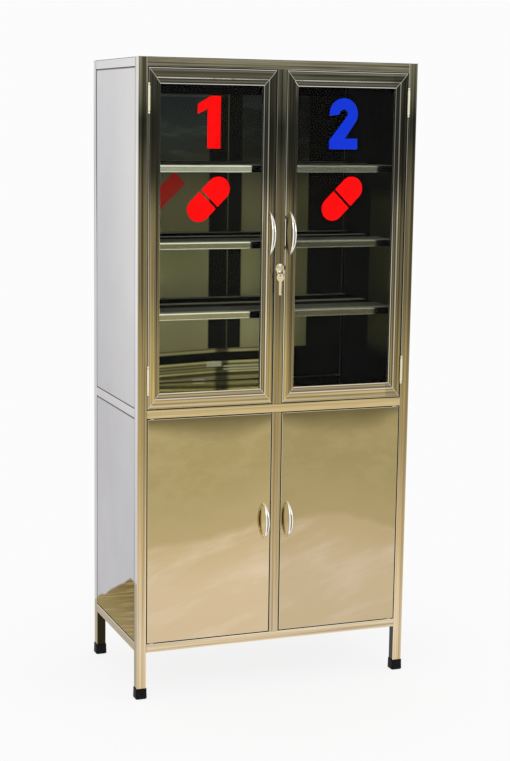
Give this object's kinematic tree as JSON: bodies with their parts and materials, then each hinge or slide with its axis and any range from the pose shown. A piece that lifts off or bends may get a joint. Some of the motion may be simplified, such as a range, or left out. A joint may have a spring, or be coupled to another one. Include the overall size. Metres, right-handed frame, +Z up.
{
  "type": "medicine cabinet",
  "caption": "Tall free-standing polished steel medicine cabinet with glazed doors and shelves above, solid doors below, bow handles, a cam lock with hanging keys, and legs in rubber caps.",
  "frame": {"origin": "on the floor, at the middle of the footprint that the cabinet and its handles take up", "axes": "+Z up, the doors face -Y, +X to the right as seen from the front"},
  "size_m": [0.745, 0.4355, 1.6],
  "materials": {
    "polished_steel": "mirror polished",
    "bright_chrome": "polished",
    "clear_glass": "clear",
    "black_rubber": "matt",
    "grey_strip": "satin",
    "white_nylon": "satin",
    "dark_magnet": "satin"
  },
  "bodies": {
    "cabinet": {"back_panel_lower": "polished_steel", "back_panel_upper": "polished_steel", "back_rails": "polished_steel", "bottom_deck": "polished_steel", "centre_post_lower": "polished_steel", "centre_post_upper": "polished_steel", "front_rail_bottom": "polished_steel", "front_rail_middle": "polished_steel", "front_rail_top": "polished_steel", "lock_body": "bright_chrome", "lock_nut": "bright_chrome", "lower_shelf": "polished_steel", "magnet_catches": "dark_magnet", "middle_deck": "polished_steel", "middle_shelf": "polished_steel", "pivot_bushes": "white_nylon", "post_back_left": "polished_steel", "post_back_right": "polished_steel", "post_front_left": "polished_steel", "post_front_right": "polished_steel", "post_hinge_halves_left": "polished_steel", "post_hinge_halves_right": "polished_steel", "rubber_feet": "black_rubber", "shelf_rests": "polished_steel", "side_panel_lower_left": "polished_steel", "side_panel_lower_right": "polished_steel", "side_panel_upper_left": "polished_steel", "side_panel_upper_right": "polished_steel", "side_rails_left": "polished_steel", "side_rails_right": "polished_steel", "top_panel": "polished_steel", "upper_shelf": "polished_steel"},
    "upper_left_door": {"door_hinge_halves_left": "polished_steel", "lock_keeper_left": "polished_steel", "upper_door_beads_left": "grey_strip", "upper_door_frame_left": "polished_steel", "upper_door_glass_left": "clear_glass", "upper_door_handle_left": "bright_chrome"},
    "upper_right_door": {"door_hinge_halves_right": "polished_steel", "lock_keeper_right": "polished_steel", "upper_door_beads_right": "grey_strip", "upper_door_frame_right": "polished_steel", "upper_door_glass_right": "clear_glass", "upper_door_handle_right": "bright_chrome"},
    "lower_left_door": {"lower_door_handle_left": "bright_chrome", "lower_door_liner_left": "polished_steel", "lower_door_pivots_left": "polished_steel", "lower_door_skin_left": "polished_steel"},
    "lower_right_door": {"lower_door_handle_right": "bright_chrome", "lower_door_liner_right": "polished_steel", "lower_door_pivots_right": "polished_steel", "lower_door_skin_right": "polished_steel"},
    "lock": {"key": "bright_chrome", "lock_cam": "bright_chrome", "lock_plug": "bright_chrome"},
    "hanging_keys": {"key_ring": "bright_chrome", "spare_key": "bright_chrome"}
  },
  "joints": [
    {"name": "upper_left_hinge", "type": "hinge", "parent": "cabinet", "child": "upper_left_door", "pos_m": [-0.344, -0.1875, 1.16], "axis": [0, 0, -1], "range_deg": [0, 170]},
    {"name": "upper_right_hinge", "type": "hinge", "parent": "cabinet", "child": "upper_right_door", "pos_m": [0.344, -0.1875, 1.16], "axis": [0, 0, 1], "range_deg": [0, 170]},
    {"name": "lower_left_pivot", "type": "hinge", "parent": "cabinet", "child": "lower_left_door", "pos_m": [-0.3305, -0.1775, 0.432], "axis": [0, 0, -1], "range_deg": [0, 125]},
    {"name": "lower_right_pivot", "type": "hinge", "parent": "cabinet", "child": "lower_right_door", "pos_m": [0.3305, -0.1775, 0.432], "axis": [0, 0, 1], "range_deg": [0, 125]},
    {"name": "lock_turn", "type": "hinge", "parent": "cabinet", "child": "lock", "pos_m": [0, -0.1835, 1.088], "axis": [0, 1, 0], "range_deg": [0, 90]},
    {"name": "key_hang", "type": "hinge", "parent": "lock", "child": "hanging_keys", "pos_m": [0, -0.2072, 1.088], "axis": [0, 1, 0], "range_deg": [-90, 0]}
  ],
  "couplings": [
    {"joint": "key_hang", "follows": "lock_turn", "ratio": -1}
  ]
}
